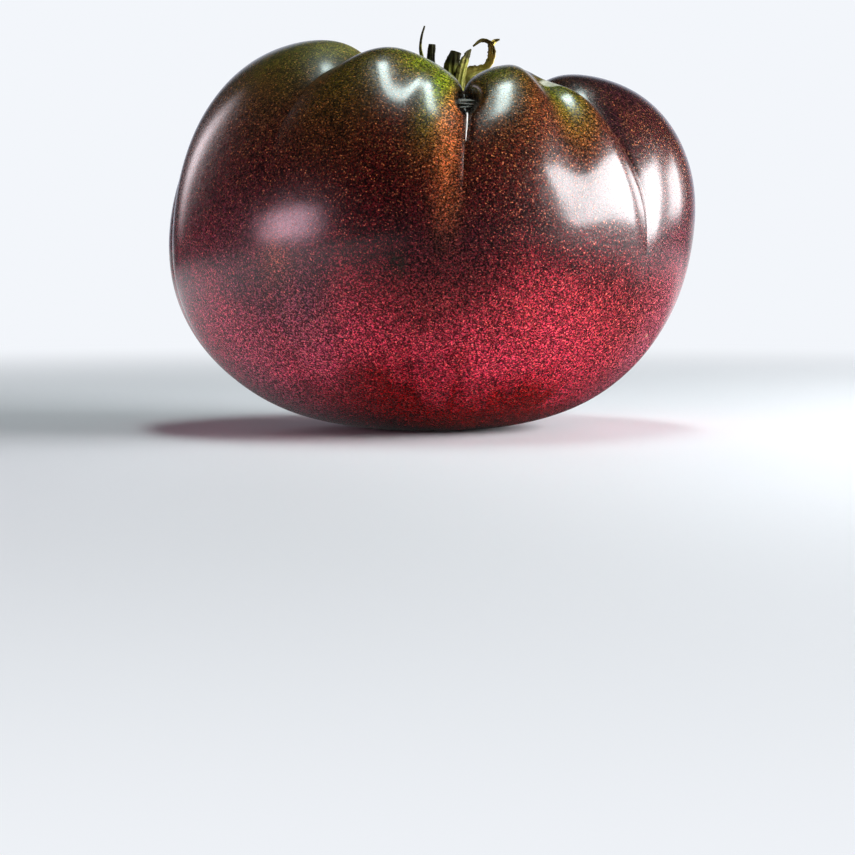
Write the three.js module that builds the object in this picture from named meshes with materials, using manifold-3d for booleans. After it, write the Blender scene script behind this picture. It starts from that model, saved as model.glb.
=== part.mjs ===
// A ribbed black beefsteak tomato with its half dried green calyx, which carries a short stub of stem.
// Millimetres, +Z up, the blossom end on the ground at the origin, the most creased side towards -Y.
import * as THREE from "three";
import { mergeVertices } from "three/addons/utils/BufferGeometryUtils.js";
import Module from "manifold-3d";

const wasm = await Module();
wasm.setup();

// Driving dimensions of the fruit
const FLAT_RADIUS = 13; // the blossom end lies flat well inside this
const STEM_X = 5; // the stem axis stands off the middle of the fruit
const CAVITY_FLOOR = 61.5; // bottom of the hollow that the stem sits in
const CAVITY_FLOOR_RADIUS = 6.5;

// Level along a rib, from the blossom end over the shoulder to the stem
const LEVEL = { belly: 6, crest: 10, wall: 11, stem: 14 };
const STEMWARD_FADE = 2; // levels over which a groove fades towards the stem

// Sections round the fruit: azimuth in degrees from +X, height of the widest level (waist), belly radius,
// crest height, crest distance from the stem axis, fullness of the lower and of the upper flank
const SECTIONS = [
  { azimuth: 0, waist: 44.5, belly: 55.7, crest: 73.4, reach: 24.2, low: 2.03, high: 2.04 },
  { azimuth: 40, waist: 43.5, belly: 53.7, crest: 70.3, reach: 24.6, low: 2.03, high: 2.04 },
  { azimuth: 80, waist: 42, belly: 50.5, crest: 67.5, reach: 24, low: 2.03, high: 2 },
  { azimuth: 120, waist: 40.5, belly: 51.5, crest: 70.5, reach: 26, low: 2.03, high: 2 },
  { azimuth: 155, waist: 38, belly: 54.8, crest: 76.9, reach: 28, low: 2.03, high: 2.09 },
  { azimuth: 185, waist: 36.3, belly: 57.3, crest: 80.9, reach: 29.1, low: 1.99, high: 2.2 },
  { azimuth: 212, waist: 37.7, belly: 53.6, crest: 81.2, reach: 27.6, low: 2.03, high: 2.13 },
  { azimuth: 240, waist: 40.5, belly: 51.5, crest: 80.3, reach: 27.5, low: 2.06, high: 2.1 },
  { azimuth: 265, waist: 42, belly: 51, crest: 73.9, reach: 26.5, low: 2.06, high: 2 },
  { azimuth: 290, waist: 43, belly: 51.5, crest: 74.5, reach: 26.5, low: 2.05, high: 2 },
  { azimuth: 315, waist: 44, belly: 53, crest: 76.2, reach: 26, low: 2.03, high: 2 },
  { azimuth: 338, waist: 44.5, belly: 55.4, crest: 74.2, reach: 24.3, low: 2.03, high: 2.03 },
];
const SECTION_FOCUS = 14; // how sharply one section gives way to the next

// Grooves between the ribs: azimuth at the crest and at the belly; then the soft valley's depth, its half
// width on either side in degrees and the level where it runs out; then the sharp crease in its bottom, with
// its depth, half width and last level. Top is where a groove fades towards the stem, swing how late it turns
// and blunt how round its bottom is.
const GROOVES = [
  { crest: 12, belly: 12, valley: 2.6, before: 12, after: 12, end: 6, crease: 0.6, half: 1.2, last: 5.5 },
  { crest: 46, belly: 44, valley: 5.5, before: 9, after: 14, end: 4.5, crease: 1.4, half: 1, last: 5 },
  { crest: 84, belly: 84, valley: 3.2, before: 10, after: 10, end: 5.5, crease: 0.8, half: 1.2, last: 5 },
  { crest: 117, belly: 116, valley: 5.5, before: 12, after: 9, end: 4.5, crease: 1.5, half: 1, last: 4.5 },
  { crest: 147, belly: 149, valley: 3, before: 12, after: 12, end: 5, crease: 0.8, half: 1.2, last: 5 },
  {
    crest: 175, belly: 186, valley: 3.8, before: 7, after: 7, end: 0,
    crease: 0, half: 2, last: 3, blunt: 2,
  },
  { crest: 228, belly: 229, valley: 4.6, before: 13, after: 9, end: 6, crease: 0.5, half: 1.6, last: 6.6 },
  {
    crest: 258.5, belly: 260.5, valley: 1.3, before: 7, after: 5, end: 6.4,
    crease: 0, half: 2, last: 6, top: 8.3, blunt: 2,
  },
  {
    crest: 273, belly: 276.4, valley: 3.5, before: 9, after: 9, end: 6.2,
    crease: 2, half: 0.75, last: 5.6, swing: 3,
  },
  {
    crest: 303, belly: 303, valley: 4.3, before: 6.2, after: 6.2, end: 5.6,
    crease: 0, half: 1.2, last: 6, top: 8.8, blunt: 2,
  },
  { crest: 314, belly: 325, valley: 7.2, before: 5.5, after: 14, end: 4.6, crease: 1.6, half: 1, last: 4.5 },
];
const VALLEY_POWER = 1.35;
const CREASE_POWER = 1.2;

// The pinched pit where the front crease opens on the shoulder
const PIT = { groove: 8, height: 68.7, depth: 3, halfWidth: 2.5, halfHeight: 3.4, power: 2.2 };

// How finely the fruit is faceted
const COLUMNS_PER_RIB = 8;
const COLUMN_CROWDING = 0.72; // columns crowd towards the creases
const ROWS_PER_LEVEL = [2, 2, 2, 2, 2, 3, 3, 3, 4, 4, 3, 3, 3, 4];

const radians = THREE.MathUtils.degToRad;
const ease = (share) => THREE.MathUtils.smoothstep(share, 0, 1);

// A section's value at any azimuth, blended smoothly from the sections nearest to it
function around(azimuth, key) {
  let sum = 0;
  let weights = 0;
  for (const section of SECTIONS) {
    const weight = Math.exp(SECTION_FOCUS * (Math.cos(azimuth - radians(section.azimuth)) - 1));
    sum += weight * section[key];
    weights += weight;
  }
  return sum / weights;
}

// Control points of a rib's outline at one azimuth: distance from the axis, height,
// and how far the axis there has moved over to the stem
function outlineControls(azimuth) {
  const waist = around(azimuth, "waist");
  const belly = around(azimuth, "belly");
  const crest = around(azimuth, "crest");
  const reach = around(azimuth, "reach");
  const low = 2 / around(azimuth, "low");
  const high = 2 / around(azimuth, "high");
  const flatRing = FLAT_RADIUS * 0.55;
  const flatEdge = FLAT_RADIUS * 1.1;
  const quarters = [0, 22.5, 45, 67.5].map(radians);
  const points = [[-flatRing, 0, 0], [0, 0, 0], [flatRing, 0, 0]];
  for (const turn of quarters) {
    const out = flatEdge + (belly - flatEdge) * Math.sin(turn) ** low;
    points.push([out, waist * (1 - Math.cos(turn) ** low), 0]);
  }
  for (const turn of quarters) {
    const out = reach + (belly - reach) * Math.cos(turn) ** high;
    const up = waist + (crest - waist) * Math.sin(turn) ** high;
    points.push([out, up, Math.sin(turn) ** 2]);
  }
  for (const inward of [0, 0.25, 0.5]) {
    points.push([reach * (1 - inward), crest - (crest - CAVITY_FLOOR) * ease(inward), 1]);
  }
  points.push([CAVITY_FLOOR_RADIUS, CAVITY_FLOOR, 1], [0, CAVITY_FLOOR, 1]);
  points.push([-CAVITY_FLOOR_RADIUS, CAVITY_FLOOR, 1]);
  return points;
}

// The outline's point at a level, on a cubic B-spline through the controls, with its outward normal
function outlineAt(azimuth, level) {
  const points = outlineControls(azimuth);
  const first = Math.min(Math.floor(level), LEVEL.stem - 1);
  const u = level - first;
  const place = [(1 - u) ** 3, 3 * u ** 3 - 6 * u ** 2 + 4, -3 * u ** 3 + 3 * u ** 2 + 3 * u + 1, u ** 3];
  const slope = [-((1 - u) ** 2), 3 * u ** 2 - 4 * u, -3 * u ** 2 + 2 * u + 1, u ** 2];
  const mix = (weights, axis) =>
    weights.reduce((sum, weight, i) => sum + weight * points[first + i][axis], 0);
  const out = mix(place, 0) / 6;
  const up = mix(place, 1) / 6;
  const shift = mix(place, 2) / 6;
  const normal = new THREE.Vector2(mix(slope, 1), -mix(slope, 0)).normalize();
  return { out, up, shift, normal };
}

// 0 at the belly and below, 1 at the crest and inwards
const crestShare = (level) => ease((level - LEVEL.belly) / (LEVEL.crest - LEVEL.belly));

const grooveAzimuth = ({ crest, belly, swing = 1 }, level) =>
  THREE.MathUtils.lerp(belly, crest, crestShare(level) ** swing);

// How far the surface is drawn in at a point by all the grooves and the pit
function grooveDepth(azimuth, level, out, up) {
  let depth = 0;
  GROOVES.forEach((groove, i) => {
    const apart = THREE.MathUtils.euclideanModulo(azimuth - grooveAzimuth(groove, level) + 180, 360) - 180;
    const arc = radians(Math.abs(apart)) * Math.max(out, 4);
    const wide = Math.abs(apart) / (apart < 0 ? groove.before : groove.after);
    const inner = 1 - ease((level - (groove.top ?? LEVEL.wall)) / STEMWARD_FADE);
    const valleyFade = ease((level - groove.end) / (LEVEL.crest - groove.end));
    const creaseFade = ease((level - groove.last) / (LEVEL.crest - groove.last));
    depth += inner * groove.valley * valleyFade * Math.exp(-(wide ** (groove.blunt ?? VALLEY_POWER)));
    depth += inner * groove.crease * creaseFade * Math.exp(-((arc / groove.half) ** CREASE_POWER));
    if (i === PIT.groove && level < LEVEL.crest) {
      const spread = (arc / PIT.halfWidth) ** 2 + ((up - PIT.height) / PIT.halfHeight) ** 2;
      depth += PIT.depth * Math.exp(-(spread ** PIT.power));
    }
  });
  return depth;
}

// The fruit's surface at an azimuth in degrees and a level
function fruitPoint(azimuth, level) {
  const turn = radians(azimuth);
  const { out, up, shift, normal } = outlineAt(turn, level);
  const depth = grooveDepth(azimuth, level, out, up);
  const drawn = out - normal.x * depth;
  return new THREE.Vector3(
    STEM_X * shift + drawn * Math.cos(turn),
    drawn * Math.sin(turn),
    up - normal.y * depth,
  );
}

// Columns run from groove to groove and follow them, so that every crease lies on an edge
function fruitColumns() {
  const columns = [];
  GROOVES.forEach((groove, i) => {
    const next = GROOVES[(i + 1) % GROOVES.length];
    const turn = i + 1 === GROOVES.length ? 360 : 0;
    for (let k = 0; k < COLUMNS_PER_RIB; k++) {
      const even = k / COLUMNS_PER_RIB;
      const share = even - (COLUMN_CROWDING * Math.sin(2 * Math.PI * even)) / (2 * Math.PI);
      columns.push((level) => {
        const from = grooveAzimuth(groove, level);
        const to = grooveAzimuth(next, level) + turn;
        return from + (to - from) * share;
      });
    }
  });
  return columns;
}

// Levels of the rows between the two poles
function fruitLevels() {
  const levels = [];
  ROWS_PER_LEVEL.forEach((rows, level) => {
    for (let k = 0; k < rows; k++) levels.push(level + k / rows);
  });
  return levels.slice(1);
}

// A closed skin over rings of equal length, with a point at either end
function closeRings(start, rings, end) {
  const size = rings[0].length;
  const points = [start, ...rings.flat(), end];
  const last = points.length - 1;
  const index = [];
  for (let k = 0; k < size; k++) {
    const next = (k + 1) % size;
    index.push(0, 1 + next, 1 + k);
    index.push(last, last - size + k, last - size + next);
    for (let row = 0; row + 1 < rings.length; row++) {
      const a = 1 + row * size + k;
      const b = 1 + row * size + next;
      index.push(a, b, b + size, a, b + size, a + size);
    }
  }
  return new THREE.BufferGeometry().setFromPoints(points).setIndex(index);
}

function fruitGeometry() {
  const columns = fruitColumns();
  const rings = fruitLevels().map((level) => columns.map((column) => fruitPoint(column(level), level)));
  return closeRings(fruitPoint(0, 0), rings, fruitPoint(0, LEVEL.stem));
}

// Solids for the union of the calyx
function toManifold(geometry) {
  const bare = new THREE.BufferGeometry().setAttribute("position", geometry.getAttribute("position"));
  bare.setIndex(geometry.index);
  const merged = mergeVertices(bare, 1e-4);
  return new wasm.Manifold(
    new wasm.Mesh({
      numProp: 3,
      vertProperties: merged.attributes.position.array,
      triVerts: new Uint32Array(merged.index.array),
    }),
  );
}

function fromManifold(solid) {
  const mesh = solid.getMesh();
  return new THREE.BufferGeometry()
    .setAttribute("position", new THREE.BufferAttribute(mesh.vertProperties, 3))
    .setIndex(new THREE.BufferAttribute(mesh.triVerts, 1));
}

// Calyx: a small green disc in the hollow, with the sepals round it
const SEAT_GAP = 0.6;
const HUB = { radius: 4.4, rim: 0.9, height: 2 };
const HUB_BASE = CAVITY_FLOOR + SEAT_GAP;
const HUB_TOP = HUB_BASE + HUB.height;

function hubGeometry() {
  const { radius, rim, height } = HUB;
  const profile = [
    [0, 0],
    [radius - rim, 0],
    [radius, rim],
    [radius - 0.4, height - 0.5],
    [radius - 1.4, height],
    [0, height],
  ];
  const points = profile.map(([out, up]) => new THREE.Vector2(out, up));
  return new THREE.LatheGeometry(points, 24).rotateX(Math.PI / 2).translate(STEM_X, 0, HUB_BASE);
}

// Sepals: points along the middle line as [outwards, sideways, up from the hub's top, half width], the
// cupping of the blade and the turn of its face in degrees at the root and at the tip
const SEPALS = {
  wisp: {
    azimuth: 152,
    line: [
      [3, 0, -1, 1.2],
      [5.4, 0.2, 5, 1.1],
      [7, 0.3, 10.5, 0.8],
      [8.1, 0.3, 14.8, 0.45],
      [7.8, 0.3, 17.3, 0.34],
      [7.1, 0.2, 19.5, 0.3],
    ],
    cup: 0.3,
    turn: [0, 70],
  },
  blunt: {
    azimuth: 196,
    line: [[3, 0, -1, 1.3], [4.8, -0.2, 5, 1.2], [5.4, -0.2, 11, 1], [5, -0.1, 15.4, 0.75]],
    cup: 0.3,
    turn: [0, 60],
  },
  broad: {
    azimuth: 258,
    line: [[3, 0, -1, 1.5], [3.6, -0.4, 4, 1.9], [4, -0.5, 9, 2], [4.2, 0.1, 12, 1.7], [3.9, 0.7, 13.8, 1.2]],
    cup: 0.5,
    turn: [0, -20],
  },
  pointed: {
    azimuth: 290,
    line: [
      [3, 0, -1, 1.4],
      [4.4, -0.4, 4, 1.5],
      [4.6, -0.4, 8, 1.3],
      [4.4, 0.6, 11.4, 1],
      [4.1, 1.4, 13.2, 0.7],
      [4, 2, 14.2, 0.35],
    ],
    cup: 0.4,
    turn: [0, 25],
  },
  hooked: {
    azimuth: 352,
    line: [
      [2.8, 0, -1, 1.4],
      [3, 0, 4, 1.7],
      [2.7, 0, 8.4, 2],
      [3.6, 0, 9.4, 1.6],
      [5, 0, 9.9, 1.1],
      [6.5, 0, 10.5, 0.9],
      [7.5, 0, 11.9, 0.95],
      [7.8, 0, 14, 0.95],
      [7.1, 0, 15.8, 0.5],
      [5.5, 0, 16.2, 0.42],
      [3.7, 0, 15, 0.3],
    ],
    cup: 0.3,
    turn: [45, 68],
  },
  splitTip: {
    azimuth: 352,
    line: [[7.6, 0, 13.4, 0.5], [7.8, 0, 15, 0.46], [8.4, 0, 15.9, 0.4], [9.3, 0, 16.3, 0.3]],
    cup: 0.1,
    turn: [60, 60],
  },
  right: {
    azimuth: 26,
    line: [[3, 0, -1, 1.6], [7, 0.2, 3, 2], [11, 0.6, 7, 1.4], [14, 2, 10.2, 0.35]],
    cup: 0.5,
    turn: [0, 30],
  },
  back: {
    azimuth: 68,
    line: [[3, 0, -1, 1.6], [6.5, 0, 3, 2.1], [10, -0.6, 6.5, 1.4], [12.5, -2, 8, 0.35]],
    cup: 0.5,
    turn: [0, -35],
  },
  backLeft: {
    azimuth: 110,
    line: [[3, 0, -1, 1.5], [6.5, 0, 4, 1.9], [10, 0.4, 8, 1.2], [11.5, 1.6, 11.6, 0.35]],
    cup: 0.5,
    turn: [0, 40],
  },
};
const BLADE_HALF_THICKNESS = 0.36;
const RINGS_PER_SPAN = 4; // between two points of a sepal's line
const BLADE_ACROSS = [-1, -0.5, 0, 0.5, 1];

// A curved, cupped blade along a line, with both faces split alike
function bladeGeometry({ line, cup, turn }) {
  const curve = new THREE.CatmullRomCurve3(line.map(([out, side, up]) => new THREE.Vector3(out, side, up)));
  const spans = line.length - 1;
  const widest = Math.max(...line.map((point) => point[3]));
  const rings = [];
  for (let i = 0; i <= spans * RINGS_PER_SPAN; i++) {
    const share = i / (spans * RINGS_PER_SPAN);
    const span = Math.min(Math.floor(share * spans), spans - 1);
    const width = THREE.MathUtils.lerp(line[span][3], line[span + 1][3], ease(share * spans - span));
    const middle = curve.getPoint(share);
    const along = curve.getTangent(share);
    const across = new THREE.Vector3(0, 1, 0).addScaledVector(along, -along.y).normalize();
    across.applyAxisAngle(along, radians(THREE.MathUtils.lerp(turn[0], turn[1], ease(share))));
    const face = new THREE.Vector3().crossVectors(along, across);
    const at = (side, skin) =>
      middle
        .clone()
        .addScaledVector(across, side * width)
        .addScaledVector(face, cup * side * side * (width / widest) + skin * BLADE_HALF_THICKNESS);
    const under = BLADE_ACROSS.map((side) => at(side, -1));
    const over = BLADE_ACROSS.toReversed().map((side) => at(side, 1));
    rings.push([...under, ...over]);
  }
  const centre = (ring) =>
    ring.reduce((sum, point) => sum.add(point), new THREE.Vector3()).divideScalar(ring.length);
  return closeRings(centre(rings[0]), rings, centre(rings[rings.length - 1]));
}

// Stub of stem on the hub, with its swollen joint, as points [lean outwards, up, radius]
const STUB = [
  [0, -0.5, 2.3],
  [0, 0.8, 2.05],
  [0.15, 2.2, 1.8],
  [0.4, 3.6, 1.8],
  [0.7, 4.8, 2.2],
  [0.95, 5.7, 2.45],
  [1.2, 6.5, 2.2],
  [1.35, 7, 1.5],
];
const STUB_LEAN = 130; // azimuth in degrees
const STUB_SIDES = 18;

function stubGeometry() {
  const lean = new THREE.Vector3(Math.cos(radians(STUB_LEAN)), Math.sin(radians(STUB_LEAN)), 0);
  const centre = ([outwards, up]) => lean.clone().multiplyScalar(outwards).setZ(up);
  const rings = STUB.map((station) =>
    Array.from({ length: STUB_SIDES }, (_, k) => {
      const turn = (2 * Math.PI * k) / STUB_SIDES;
      const offset = new THREE.Vector3(Math.cos(turn), Math.sin(turn), 0);
      return centre(station).addScaledVector(offset, station[2]);
    }),
  );
  return closeRings(centre(STUB[0]), rings, centre(STUB[STUB.length - 1])).translate(STEM_X, 0, HUB_TOP);
}

function calyxGeometry() {
  let calyx = toManifold(hubGeometry()).add(toManifold(stubGeometry()));
  for (const sepal of Object.values(SEPALS)) {
    const blade = bladeGeometry(sepal).rotateZ(radians(sepal.azimuth)).translate(STEM_X, 0, HUB_TOP);
    calyx = calyx.add(toManifold(blade));
  }
  return fromManifold(calyx);
}

const materials = {
  skin: new THREE.MeshStandardMaterial({ color: 0x5a1a18, roughness: 0.28, metalness: 0 }),
  sepal: new THREE.MeshStandardMaterial({ color: 0x3d5a22, roughness: 0.75, metalness: 0 }),
};

function piece(name, geometry, material) {
  const mesh = new THREE.Mesh(geometry, material);
  mesh.name = name;
  return mesh;
}

const tomato = new THREE.Group();
tomato.name = "tomato";
tomato.add(piece("fruit", fruitGeometry(), materials.skin));
tomato.add(piece("calyx", calyxGeometry(), materials.sepal));

export default tomato;
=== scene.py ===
# %% [markdown]
# # A black beefsteak tomato
# The fruit is a low, wide ball with eleven ribs that meet in creases on its shoulders. On top,
# in a hollow, sits a half dried green calyx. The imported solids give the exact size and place.
# This script builds finer surfaces over them, paints the skin and lights it in a pale studio.

# %% Open the model
import math
import bpy
import numpy as np
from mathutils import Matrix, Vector


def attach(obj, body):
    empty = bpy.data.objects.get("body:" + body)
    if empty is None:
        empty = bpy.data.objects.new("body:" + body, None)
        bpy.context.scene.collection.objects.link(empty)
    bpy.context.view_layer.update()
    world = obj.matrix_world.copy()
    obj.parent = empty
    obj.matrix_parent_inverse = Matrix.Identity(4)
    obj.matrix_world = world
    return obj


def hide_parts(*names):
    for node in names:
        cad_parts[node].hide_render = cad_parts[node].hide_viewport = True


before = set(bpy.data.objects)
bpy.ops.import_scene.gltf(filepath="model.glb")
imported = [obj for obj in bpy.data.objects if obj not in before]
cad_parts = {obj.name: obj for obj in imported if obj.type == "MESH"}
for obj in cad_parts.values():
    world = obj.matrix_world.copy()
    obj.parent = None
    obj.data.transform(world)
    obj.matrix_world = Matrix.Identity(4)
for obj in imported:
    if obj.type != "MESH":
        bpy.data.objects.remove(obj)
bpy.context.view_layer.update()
MM = 0.001

# %% [markdown]
# ## Camera
# The photograph looks almost level at the fruit from a good half metre. The fruit's foot is the
# middle of the picture, so it fills the upper half and bare floor fills the lower half.

# %% Camera
PICTURE_WIDTH = 178.8 * MM  # what the picture spans at the fruit
CAMERA_DISTANCE = 560 * MM
CAMERA_TILT = math.radians(4)
CAMERA_SIDE = -0.73 * MM
SENSOR_WIDTH = 36
NEAR_END, FAR_END = 0.01, 50

lens = bpy.data.cameras.new("camera")
lens.sensor_width = SENSOR_WIDTH
lens.lens = SENSOR_WIDTH * CAMERA_DISTANCE / PICTURE_WIDTH
lens.clip_start, lens.clip_end = NEAR_END, FAR_END
camera = bpy.data.objects.new("camera", lens)
camera.location = (
    CAMERA_SIDE,
    -CAMERA_DISTANCE * math.cos(CAMERA_TILT),
    CAMERA_DISTANCE * math.sin(CAMERA_TILT),
)
camera.rotation_euler = (math.pi / 2 - CAMERA_TILT, 0, 0)
bpy.context.collection.objects.link(camera)
bpy.context.scene.camera = camera
print("lens", round(lens.lens, 1), "mm")

# %% [markdown]
# ## Writing shaders as sums
# A skin is easier to read as arithmetic than as a drawing of nodes. The class below holds one
# output socket. Adding or multiplying two of them makes the Math node in between, and one
# method makes every other kind of node from its settings and what it is fed. The methods at the
# end give short names to the nodes that come back often.

# %% Sockets that can be added and multiplied
class Wire:
    def __init__(self, tree, socket=None):
        self.tree, self.socket = tree, socket

    def node(self, kind, settings=None, feeds=None, pick=0):
        made = self.tree.nodes.new("ShaderNode" + kind)
        for name, value in (settings or {}).items():
            if name == "stops":
                self.fill(made.color_ramp, value)
            else:
                setattr(made, name, value)
        for name, value in (feeds or {}).items():
            self.feed(made.inputs[name], value)
        return Wire(self.tree, made.outputs[pick])

    def feed(self, entry, value):
        if isinstance(value, Wire):
            self.tree.links.new(value.socket, entry)
        elif isinstance(value, tuple) and len(value) == 3 and entry.type == "RGBA":
            entry.default_value = (*value, 1)
        else:
            entry.default_value = value

    @staticmethod
    def fill(ramp, stops):
        while len(ramp.elements) < len(stops):
            ramp.elements.new(0.5)
        for element, (place, colour) in zip(ramp.elements, stops):
            element.position = place
            element.color = (*colour, 1)

    def maths(self, operation, first, second=None):
        feeds = {0: first} if second is None else {0: first, 1: second}
        return self.node("Math", {"operation": operation}, feeds)

    def __add__(self, other): return self.maths("ADD", self, other)
    def __radd__(self, other): return self.maths("ADD", other, self)
    def __sub__(self, other): return self.maths("SUBTRACT", self, other)
    def __rsub__(self, other): return self.maths("SUBTRACT", other, self)
    def __mul__(self, other): return self.maths("MULTIPLY", self, other)
    def __rmul__(self, other): return self.maths("MULTIPLY", other, self)
    def __truediv__(self, other): return self.maths("DIVIDE", self, other)
    def __pow__(self, other): return self.maths("POWER", self, other)
    def __abs__(self): return self.maths("ABSOLUTE", self)

    def clip(self):
        return self.node("Clamp", {}, {0: self})

    def step(self, low, high, to_low=0.0, to_high=1.0):
        return self.node("MapRange", {"interpolation_type": "SMOOTHSTEP"},
                         {0: self, 1: low, 2: high, 3: to_low, 4: to_high})

    def axis(self, letter):
        return self.node("SeparateXYZ", {}, {0: self}, pick=letter)

    def vector(self, operation, other):
        return self.node("VectorMath", {"operation": operation}, {0: self, 1: other})

    def length(self):
        return self.node("VectorMath", {"operation": "LENGTH"}, {0: self}, pick="Value")

    def mix(self, share, under, over, blend="MIX"):
        settings = {"data_type": "RGBA", "blend_type": blend}
        return self.node("Mix", settings, {0: share, 6: under, 7: over}, pick=2)

    def noise(self, where, size, detail=2.0, rough=0.5):
        return self.node("TexNoise", {"noise_dimensions": "3D"},
                         {"Vector": where, "Scale": 1 / size, "Detail": detail, "Roughness": rough})

    def cells(self, where, size, pick):
        return self.node("TexVoronoi", {"feature": "F1"},
                         {"Vector": where, "Scale": 1 / size, "Randomness": 1.0}, pick=pick)

    def bump(self, height, strength, distance):
        return self.node("Bump", {}, {"Strength": strength, "Distance": distance, "Height": height})

    def kept(self, name, pick="Fac"):
        return self.node("Attribute", {"attribute_name": name}, {}, pick=pick)

    def place(self):
        return self.node("TexCoord", pick="Object")

# %% A new material and its main shader
def finish_named(name):
    material = bpy.data.materials.new(name)
    material.use_nodes = True
    shader = material.node_tree.nodes["Principled BSDF"]
    return material, shader, Wire(material.node_tree)

# %% [markdown]
# ## The fruit's form
# A tomato grows from a few chambers that swell at their own pace, so every rib has its own
# size. Twelve sections round the fruit give the main form and blend into each other. Along each
# one, a smooth curve runs from the blossom end over the widest level and the crest into the
# hollow. The level counts along that curve: 6 is the widest level, 10 the crest, 14 the stem.

# %% Sections round the fruit
FLAT_RADIUS = 13.0
STEM_X = 5.0
CAVITY_FLOOR = 61.5
CAVITY_FLOOR_RADIUS = 6.5
BELLY, CREST, WALL, STEM = 6, 10, 11, 14
SECTION_FOCUS = 14

SECTIONS = {
    "azimuth": [0, 40, 80, 120, 155, 185, 212, 240, 265, 290, 315, 338],
    "waist": [44.5, 43.5, 42, 40.5, 38, 36.3, 37.7, 40.5, 42, 43, 44, 44.5],
    "belly": [55.7, 53.7, 50.5, 51.5, 54.8, 57.3, 53.6, 51.5, 51, 51.5, 53, 55.4],
    "crest": [73.4, 70.3, 67.5, 70.5, 76.9, 80.9, 81.2, 80.3, 73.9, 74.5, 76.2, 74.2],
    "reach": [24.2, 24.6, 24, 26, 28, 29.1, 27.6, 27.5, 26.5, 26.5, 26, 24.3],
    "low": [2.03, 2.03, 2.03, 2.03, 2.03, 1.99, 2.03, 2.06, 2.06, 2.05, 2.03, 2.03],
    "high": [2.04, 2.04, 2, 2, 2.09, 2.2, 2.13, 2.1, 2, 2, 2, 2.03],
}

def ease(share):
    share = np.clip(share, 0, 1)
    return share * share * (3 - 2 * share)

def around(turn, key):
    weight = np.exp(SECTION_FOCUS * (np.cos(turn[..., None] - np.radians(SECTIONS["azimuth"])) - 1))
    return (weight * np.array(SECTIONS[key])).sum(-1) / weight.sum(-1)

# %% [markdown]
# The curve is a cubic B-spline. It passes near its control points without a kink, so the gloss
# runs over the skin in one sweep, which a chain of arcs would break into bands.

# %% The curve of a rib
FOOT_RING = FLAT_RADIUS * 0.55
FOOT_EDGE = FLAT_RADIUS * 1.1
QUARTERS = np.radians([0, 22.5, 45, 67.5])
WALL_SHARES = (0, 0.25, 0.5)

def rib_controls(turn):
    waist, belly, crest, reach = (around(turn, key) for key in ("waist", "belly", "crest", "reach"))
    low, high = 2 / around(turn, "low"), 2 / around(turn, "high")
    points = [(-FOOT_RING, 0, 0), (0, 0, 0), (FOOT_RING, 0, 0)]
    for q in QUARTERS:
        points.append((FOOT_EDGE + (belly - FOOT_EDGE) * np.sin(q) ** low,
                       waist * (1 - np.cos(q) ** low), 0))
    for q in QUARTERS:
        points.append((reach + (belly - reach) * np.cos(q) ** high,
                       waist + (crest - waist) * np.sin(q) ** high, np.sin(q) ** 2))
    for inward in WALL_SHARES:
        points.append((reach * (1 - inward), crest - (crest - CAVITY_FLOOR) * ease(inward), 1))
    for out in (CAVITY_FLOOR_RADIUS, 0, -CAVITY_FLOOR_RADIUS):
        points.append((out, CAVITY_FLOOR, 1))
    return np.stack([np.stack([value + 0 * turn for value in point], -1) for point in points])

def rib_curve(turn, level):
    points = rib_controls(turn)
    first = np.minimum(np.floor(level).astype(int), STEM - 1)
    u = (level - first)[..., None]
    a, b, c, d = (np.take_along_axis(points, (first + k)[None, ..., None], 0)[0] for k in range(4))
    place = ((1 - u) ** 3 * a + (3 * u**3 - 6 * u**2 + 4) * b
             + (-3 * u**3 + 3 * u**2 + 3 * u + 1) * c + u**3 * d) / 6
    slope = -(1 - u) ** 2 * a + (3 * u**2 - 4 * u) * b + (-3 * u**2 + 2 * u + 1) * c + u**2 * d
    length = np.hypot(slope[..., 0], slope[..., 1]) + 1e-12
    return place, slope[..., 1] / length, -slope[..., 0] / length

# %% [markdown]
# ## Grooves
# Between two ribs the skin is drawn in, as a soft valley, and most valleys have a sharp crease at
# their bottom. The crease on the front is closed, and it opens on the shoulder in a pinched pit.
# A groove names its azimuth at the crest and at the belly, the depth of the valley in mm, its
# half width in degrees on either side, the level where it ends, and the depth, half width and
# last level of the crease. Where they are given, top is the level where it fades on the crest,
# blunt rounds the valley's edge, and swing holds its turn back until it nears the crest.

# %% Grooves between the ribs
GROOVES = [
    dict(crest=12, belly=12, valley=2.6, before=12, after=12, end=6, crease=0.6, half=1.2, last=5.5),
    dict(crest=46, belly=44, valley=5.5, before=9, after=14, end=4.5, crease=1.4, half=1, last=5),
    dict(crest=84, belly=84, valley=3.2, before=10, after=10, end=5.5, crease=0.8, half=1.2, last=5),
    dict(crest=117, belly=116, valley=5.5, before=12, after=9, end=4.5, crease=1.5, half=1, last=4.5),
    dict(crest=147, belly=149, valley=3, before=12, after=12, end=5, crease=0.8, half=1.2, last=5),
    dict(crest=175, belly=186, valley=3.8, before=7, after=7, end=0, crease=0, half=2, last=3, blunt=2),
    dict(crest=228, belly=229, valley=4.6, before=13, after=9, end=6, crease=0.5, half=1.6, last=6.6),
    dict(crest=258.5, belly=260.5, valley=1.3, before=7, after=5, end=6.4, crease=0, half=2, last=6,
         top=8.3, blunt=2),
    dict(crest=273, belly=276.4, valley=3.5, before=9, after=9, end=6.2, crease=2, half=0.75, last=5.6,
         swing=3),
    dict(crest=303, belly=303, valley=4.3, before=6.2, after=6.2, end=5.6, crease=0, half=1.2, last=6,
         top=8.8, blunt=2),
    dict(crest=314, belly=325, valley=7.2, before=5.5, after=14, end=4.6, crease=1.6, half=1, last=4.5),
]
PIT = dict(groove=8, height=68.7, depth=3.0, half_width=2.5, half_height=3.4, power=2.2)
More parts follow.
